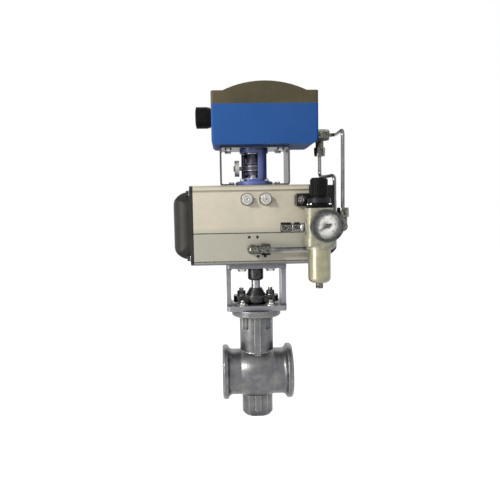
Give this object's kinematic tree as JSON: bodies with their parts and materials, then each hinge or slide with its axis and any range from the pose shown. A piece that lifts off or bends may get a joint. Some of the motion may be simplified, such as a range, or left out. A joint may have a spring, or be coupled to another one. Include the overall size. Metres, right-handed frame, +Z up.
{
  "type": "rotary control valve",
  "caption": "Flangeless eccentric rotary control valve with rack-and-pinion actuator, yoke, positioner, filter regulator and steel air tubes.",
  "frame": {"origin": "centre of the inlet gasket face, on the pipe axis", "axes": "+X along the flow and the actuator, +Z up the stem, -Y towards the front with the gauge and regulator"},
  "size_m": [0.2842, 0.214, 0.58],
  "materials": {
    "cast_body": "shot-blasted stainless casting with a soft sheen",
    "machined_steel": "turned and ground stainless steel",
    "plated_steel": "zinc plated fasteners",
    "bronze": "plain bearing bronze",
    "ptfe": "white bearing and packing plastic",
    "dark_steel": "blackened steel",
    "yoke_steel": "cast stainless steel, satin",
    "black_steel": "black oxide steel, semi-gloss",
    "anodised": "hard anodised extrusion",
    "cap_coat": "charcoal powder coat",
    "bare_aluminium": "machined aluminium",
    "seal_rubber": "nitrile rubber",
    "spring_coat": "coated spring wire",
    "sintered": "sintered bronze",
    "bracket_steel": "stainless sheet",
    "lantern_coat": "blue coating",
    "violet_plastic": "dark violet plastic",
    "light_plastic": "light grey plastic",
    "housing_blue": "blue powder coat",
    "cover_coat": "grey-brown powder coat",
    "board": "circuit board",
    "black_plastic": "black moulded plastic",
    "tube_steel": "drawn stainless tube",
    "black_fitting": "blackened fittings",
    "cast_aluminium": "die-cast aluminium",
    "bowl_metal": "polished metal bowl",
    "gauge_metal": "dark gauge case",
    "needle_black": "black needle",
    "clear": "flat gauge window"
  },
  "bodies": {
    "main_frame": {"valve_body": "cast_body", "seat_ring": "machined_steel", "seat_retainer": "machined_steel", "lower_pivot": "machined_steel", "bottom_plug": "machined_steel", "upper_guide_bush": "bronze", "packing_rings": "ptfe", "gland_follower": "dark_steel", "gland_flange": "dark_steel", "gland_studs": "dark_steel", "yoke": "yoke_steel", "yoke_bolts": "plated_steel", "actuator_body": "anodised", "left_end_cap": "cap_coat", "right_end_cap": "cap_coat", "end_cap_screws": "dark_steel", "left_spring": "spring_coat", "right_spring": "spring_coat", "pinion_bushes": "ptfe", "stop_screws": "plated_steel", "stop_lock_nuts": "plated_steel", "breather": "sintered", "top_bracket": "bracket_steel", "lantern": "lantern_coat", "mounting_screws": "plated_steel", "positioner_housing": "housing_blue", "positioner_lid": "cover_coat", "lid_screws": "plated_steel", "circuit_board": "board", "pilot_block": "bare_aluminium", "conduit_plug": "black_plastic", "tube_elbows": "black_fitting", "supply_connector": "plated_steel", "tube_nuts": "black_fitting", "signal_tube": "tube_steel", "supply_tube": "tube_steel", "inlet_fitting": "black_fitting", "regulator_body": "cast_aluminium", "regulator_bonnet": "black_plastic", "regulator_bracket": "black_steel", "filter_bowl": "bowl_metal", "gauge_case": "gauge_metal", "gauge_lens": "clear"},
    "stem_train": {"eccentric_plug": "machined_steel", "plug_shaft": "machined_steel", "lower_guide_bush": "bronze", "stem_coupling": "black_steel", "drive_pinion": "machined_steel", "pinion_circlip": "dark_steel", "feedback_coupling": "violet_plastic", "travel_pointer": "light_plastic", "positioner_shaft": "machined_steel"},
    "left_rack": {"left_piston": "bare_aluminium", "left_piston_seal": "seal_rubber"},
    "right_rack": {"right_piston": "bare_aluminium", "right_piston_seal": "seal_rubber"},
    "regulator_spindle": {"adjusting_screw": "plated_steel"},
    "knob": {"regulator_knob": "black_plastic"},
    "pressure_needle": {"gauge_needle": "needle_black"},
    "drain": {"drain_screw": "plated_steel"}
  },
  "joints": [
    {"name": "stem_turn", "type": "hinge", "parent": "main_frame", "child": "stem_train", "pos_m": [0.062, 0.004, 0], "axis": [0, 0, 1], "range_deg": [0, 75]},
    {"name": "left_piston_slide", "type": "slide", "parent": "main_frame", "child": "left_rack", "axis": [-1, 0, 0], "range_m": [0, 0.02946], "deforming": ["left_spring"]},
    {"name": "right_piston_slide", "type": "slide", "parent": "main_frame", "child": "right_rack", "axis": [1, 0, 0], "range_m": [0, 0.02946], "deforming": ["right_spring"]},
    {"name": "knob_turn", "type": "hinge", "parent": "main_frame", "child": "regulator_spindle", "pos_m": [0.1586, -0.101, 0.3], "axis": [0, 0, 1], "range_deg": [-720, 720]},
    {"name": "knob_lift", "type": "slide", "parent": "regulator_spindle", "child": "knob", "axis": [0, 0, 1], "range_m": [0, 0.003]},
    {"name": "needle_turn", "type": "hinge", "parent": "main_frame", "child": "pressure_needle", "pos_m": [0.1636, -0.14, 0.266], "axis": [0, 1, 0], "range_deg": [-18, 252]},
    {"name": "drain_turn", "type": "hinge", "parent": "main_frame", "child": "drain", "pos_m": [0.1586, -0.101, 0.17], "axis": [0, 0, 1], "range_deg": [0, 90]}
  ],
  "couplings": [
    {"joint": "left_piston_slide", "follows": "stem_turn", "m_per_rad": 0.0225},
    {"joint": "right_piston_slide", "follows": "stem_turn", "m_per_rad": 0.0225}
  ]
}
